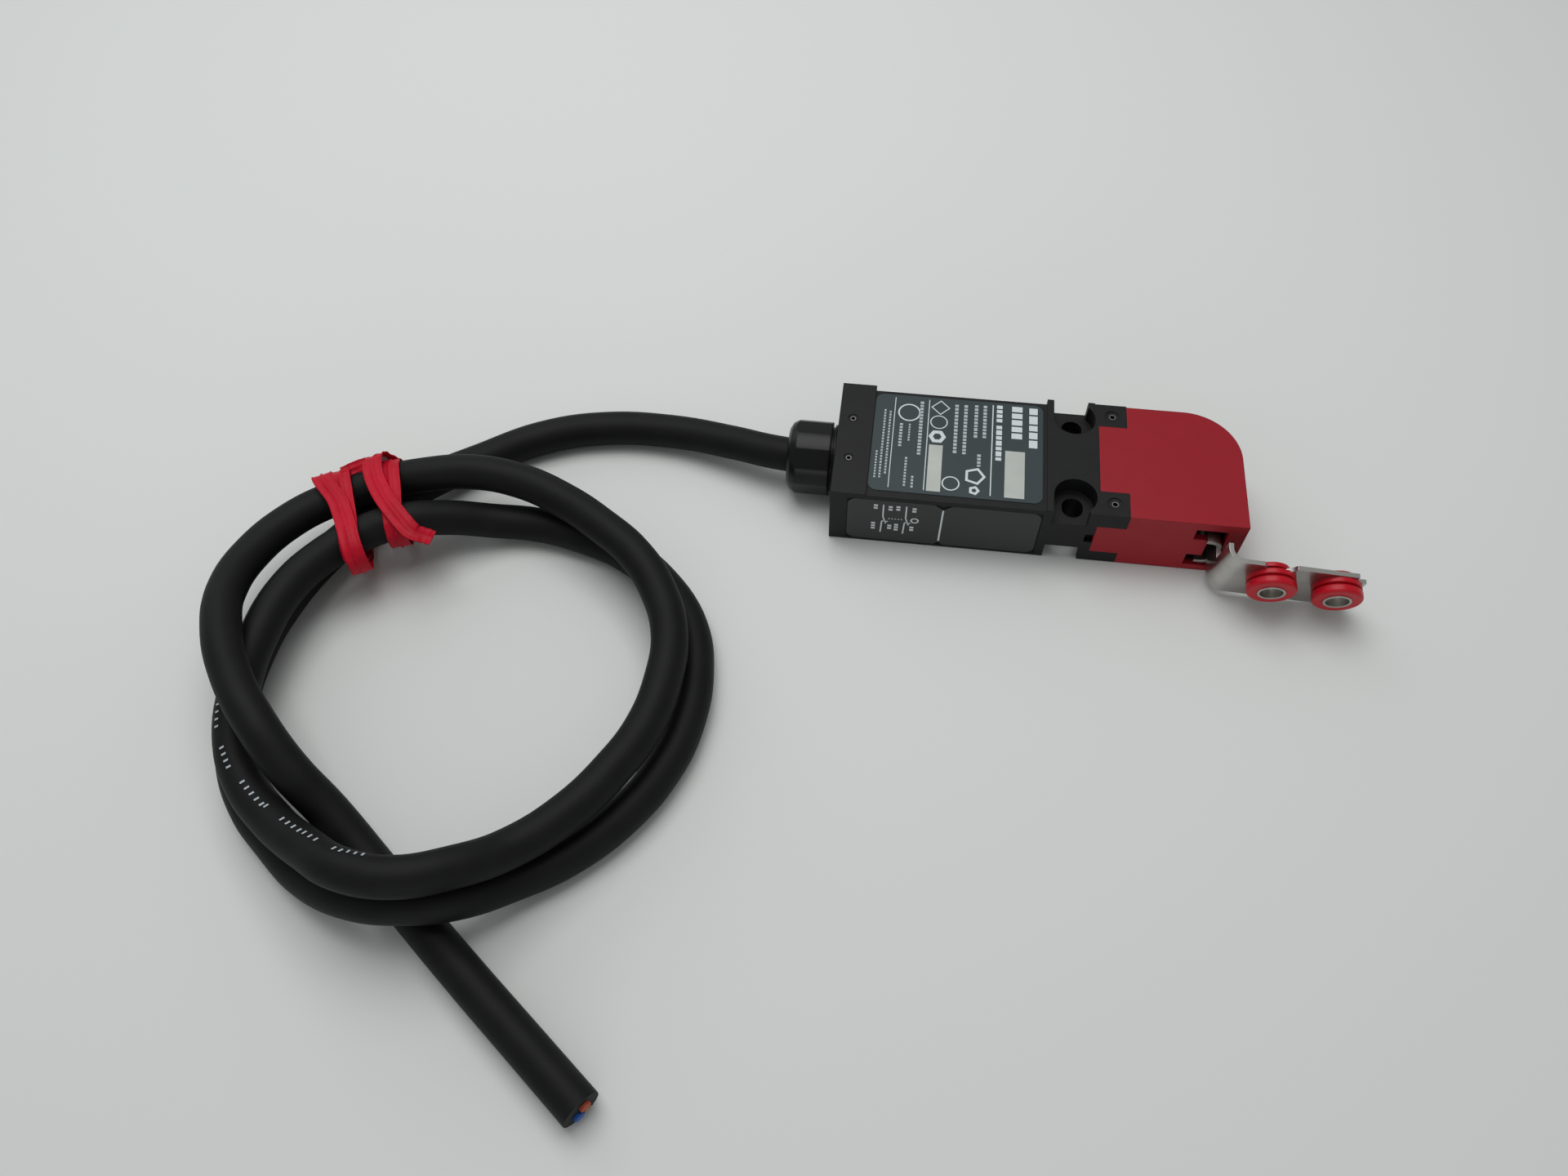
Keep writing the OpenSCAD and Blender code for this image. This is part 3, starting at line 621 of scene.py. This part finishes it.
# %% Ribbon
RIBBON = 4.4
parts = [
    wrap(
        "tie_left_inner", (-158, -34), 24, 0.35, RIBBON,
        ((-10, -0.9), (-3, 0), (12, 0)), ((-10, 1.0), (-6, 0.6), (0, 0.1), (6, 0.3), (12, 1.0)),
    ),
    wrap(
        "tie_left_outer", (-159.6, -34), 30, 0.9, RIBBON,
        ((-9, 0.6), (-4, 0.9), (2, 0.7), (12, -1.4)), ((-10, 3.4), (-6, 0.9), (0, 0.1), (6, 0.4), (12, 0.9)),
    ),
    wrap(
        "tie_right_inner", (-149.9, -27), 19, 0.4, RIBBON,
        ((-9, 0), (12, 0)), ((-10, 1.2), (-6, 0.5), (0, 0.1), (8, 0.2), (12, 0.3)),
    ),
    loose_end("tie_right_outer", [
        (-153.0, -15.6, 10.5, 80), (-154.2, -15.8, 13.9, 72), (-155.6, -16.7, 16.8, 48), (-156.1, -18.6, 18.4, 20),
        (-155.7, -21.0, 18.8, 0), (-154.1, -24.4, 18.7, 0), (-151.0, -28.7, 18.5, 0), (-146.9, -32.9, 18.0, 0),
        (-143.0, -36.0, 16.4, -4), (-140.6, -36.2, 15.3, -8), (-138.5, -36.4, 14.6, -14),
    ], RIBBON),
    loose_end("tie_bridge", [(-162.6, -22.6, 16.8, 20), (-160.4, -21.0, 17.0, 30), (-157.6, -19.6, 17.4, 20)], 2.8),
]
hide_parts("cable_tie")
print(len(parts), "ribbon pieces")

# %% [markdown]
# ## Table and light
# The object lies on a pale grey table in a bright room. The light is broad and soft: most of it comes
# from a ceiling panel above, some from a window on the far left, and a pale wall behind the viewer
# fills the near sides. A lighting image could do this, but three area lights and an even room are plain to read.
# The lamps are hidden from the camera, so that none shows when the object is seen from another side.

# %% Table
table_mesh = bpy.data.meshes.new("table")
HALF_TABLE, TABLE_TOP = 0.75, -0.0002
corners = [(x * HALF_TABLE, y * HALF_TABLE, TABLE_TOP) for x, y in ((-1, -1), (1, -1), (1, 1), (-1, 1))]
table_mesh.from_pydata(corners, [], [(0, 1, 2, 3)])
table = bpy.data.objects.new("table", table_mesh)
scene.collection.objects.link(table)
table_mesh.materials.append(material("pale grey table", "#d4d6d4", 0.75))
table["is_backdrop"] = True


def area_light(name, place, target, size, power, colour="#ffffff"):
    data = bpy.data.lights.new(name, "AREA")
    data.shape = "RECTANGLE"
    data.size, data.size_y = size
    data.energy = power
    data.color = srgb(colour)[:3]
    light = bpy.data.objects.new(name, data)
    light.visible_camera = False
    light.location = place
    light.rotation_euler = (Vector(target) - Vector(place)).to_track_quat("-Z", "Y").to_euler()
    scene.collection.objects.link(light)
    light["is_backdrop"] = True


area_light("window", (-0.7, 0.7, 0.6), (-0.05, 0, 0), (0.9, 0.6), 1.7, "#f6fbff")
area_light("ceiling", (-0.14, 0.14, 0.62), (-0.1, 0.1, 0), (0.5, 0.5), 2.7)
area_light("far wall", (0.1, -0.9, 0.15), (0, 0, 0.01), (0.6, 0.2), 1.0)
world = bpy.data.worlds.new("room")
scene.world = world
world.use_nodes = True
room = world.node_tree
back = room.nodes["Background"]
back.inputs["Color"].default_value = srgb("#eef2f1")
back.inputs["Strength"].default_value = 0.36
print("table and three lights")

# %% Finish
save_size()
